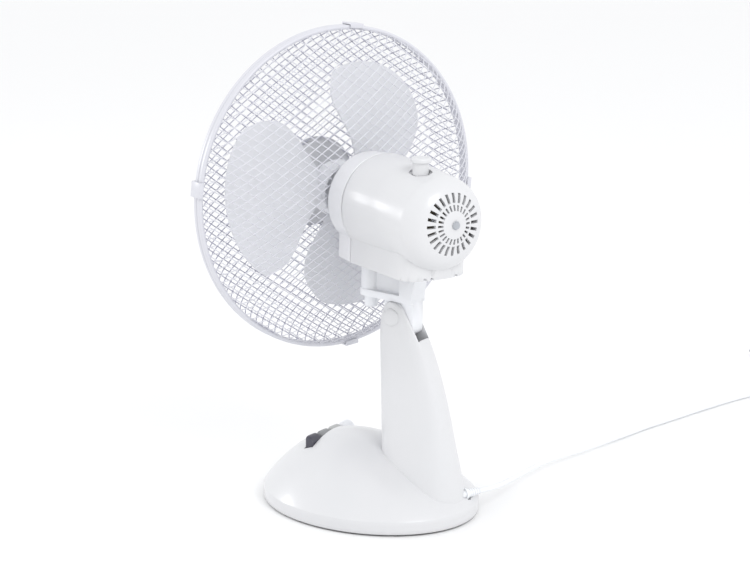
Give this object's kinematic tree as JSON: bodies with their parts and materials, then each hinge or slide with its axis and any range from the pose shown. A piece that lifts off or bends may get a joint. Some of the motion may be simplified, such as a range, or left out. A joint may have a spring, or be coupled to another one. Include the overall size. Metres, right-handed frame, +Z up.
{
  "type": "oscillating desk fan",
  "caption": "Oscillating desk fan: a round mesh guard over three blades, a bullet motor housing, a tall sloping column and an oval base with a row of keys.",
  "frame": {"origin": "on the floor, under the middle of the fan's outline", "axes": "+Z up, the fan blows towards -Y, +X to its left as it blows"},
  "size_m": [0.9249, 0.3515, 0.5004],
  "materials": {
    "white_plastic": "moulded, satin gloss",
    "guard_wire": "white coated wire",
    "blade_plastic": "moulded, cool white",
    "steel": "zinc plated",
    "lamination": "stacked steel sheets",
    "copper": "varnished winding",
    "bush_metal": "sintered, oiled",
    "bracket_metal": "die cast",
    "foot_rubber": "matt",
    "gear_plastic": "unpainted",
    "cord_plastic": "soft, satin",
    "key_white": "moulded, satin gloss",
    "key_light_grey": "moulded, satin gloss",
    "key_mid_grey": "moulded, satin gloss",
    "key_dark_grey": "moulded, satin gloss"
  },
  "bodies": {
    "base": {"base_shell": "white_plastic", "base_plate": "white_plastic", "foot_1": "foot_rubber", "foot_2": "foot_rubber", "foot_3": "foot_rubber", "foot_4": "foot_rubber", "switch_body": "gear_plastic", "column": "white_plastic", "column_screw_1": "steel", "column_screw_2": "steel", "tilt_bolt": "steel", "tilt_nut": "steel", "tilt_cap_right": "white_plastic", "tilt_cap_left": "white_plastic", "strain_relief": "cord_plastic", "power_cord": "cord_plastic", "cord_coil": "cord_plastic", "plug_body": "cord_plastic", "plug_pin_1": "steel", "plug_pin_2": "steel"},
    "off_key": {"key_0": "key_white"},
    "low_key": {"key_1": "key_light_grey"},
    "middle_key": {"key_2": "key_mid_grey"},
    "high_key": {"key_3": "key_dark_grey"},
    "tilting_neck": {"neck": "white_plastic", "swivel_collar": "white_plastic", "link_post": "steel"},
    "swinging_head": {"motor_front_cover": "white_plastic", "motor_rear_cover": "white_plastic", "rear_cover_screw": "steel", "stator_core": "lamination", "stator_winding_1": "copper", "stator_winding_2": "copper", "front_bracket": "bracket_metal", "rear_bracket": "bracket_metal", "front_bush": "bush_metal", "rear_bush": "bush_metal", "gear_case": "gear_plastic", "swivel_pin": "steel", "rear_guard": "guard_wire", "front_guard": "guard_wire", "guard_seat": "white_plastic", "guard_nut": "white_plastic", "front_badge": "white_plastic", "rim_band": "guard_wire", "guard_clip_1": "guard_wire", "guard_clip_2": "guard_wire", "guard_clip_3": "guard_wire", "guard_clip_4": "guard_wire"},
    "knob": {"oscillation_knob": "white_plastic"},
    "gear": {"worm_wheel": "bush_metal"},
    "crank_disc": {"crank": "gear_plastic"},
    "link": {"link_arm": "steel"},
    "blades": {"motor_shaft": "steel", "rotor": "lamination", "fan_blade": "blade_plastic", "blade_nut": "white_plastic"}
  },
  "joints": [
    {"name": "tilt", "type": "hinge", "parent": "base", "child": "tilting_neck", "pos_m": [0.0213, 0.0314, 0.21], "axis": [-1, 0, 0], "range_deg": [-12, 25]},
    {"name": "oscillation", "type": "hinge", "parent": "tilting_neck", "child": "swinging_head", "pos_m": [0.0213, -0.00408, 0.21114], "axis": [0, 0.0321, 0.9995], "range_deg": [-21, 59]},
    {"name": "fan_spin", "type": "hinge", "parent": "swinging_head", "child": "blades", "pos_m": [0.0213, -0.00039, 0.32608], "axis": [0.3247, 0.9453, -0.0304], "continuous": true},
    {"name": "gear_turn", "type": "hinge", "parent": "swinging_head", "child": "gear", "pos_m": [0.05998, 0.08144, 0.32345], "axis": [0, 0.0321, 0.9995], "continuous": true},
    {"name": "crank_turn", "type": "hinge", "parent": "swinging_head", "child": "crank_disc", "pos_m": [0.04728, 0.07427, 0.29367], "axis": [0, 0.0321, 0.9995], "continuous": true},
    {"name": "link_turn", "type": "hinge", "parent": "crank_disc", "child": "link", "pos_m": [0.03656, 0.07619, 0.2766], "axis": [0, 0.0321, 0.9995], "continuous": true},
    {"name": "knob_lift", "type": "slide", "parent": "swinging_head", "child": "knob", "axis": [0, 0.0321, 0.9995], "range_m": [0, 0.006]},
    {"name": "off_key_press", "type": "slide", "parent": "base", "child": "off_key", "axis": [0, 0, -1], "range_m": [0, 0.004], "stiffness_N_per_m": 400},
    {"name": "low_key_press", "type": "slide", "parent": "base", "child": "low_key", "axis": [0, 0, -1], "range_m": [0, 0.004], "stiffness_N_per_m": 400},
    {"name": "middle_key_press", "type": "slide", "parent": "base", "child": "middle_key", "axis": [0, 0, -1], "range_m": [0, 0.004], "stiffness_N_per_m": 400},
    {"name": "high_key_press", "type": "slide", "parent": "base", "child": "high_key", "axis": [0, 0, -1], "range_m": [0, 0.004], "stiffness_N_per_m": 400}
  ],
  "couplings": [
    {"joint": "gear_turn", "follows": "fan_spin", "ratio": 0.0125},
    {"joint": "crank_turn", "follows": "fan_spin", "ratio": -0.005},
    {"joint": "link_turn", "follows": "fan_spin", "ratio": 0.005}
  ]
}
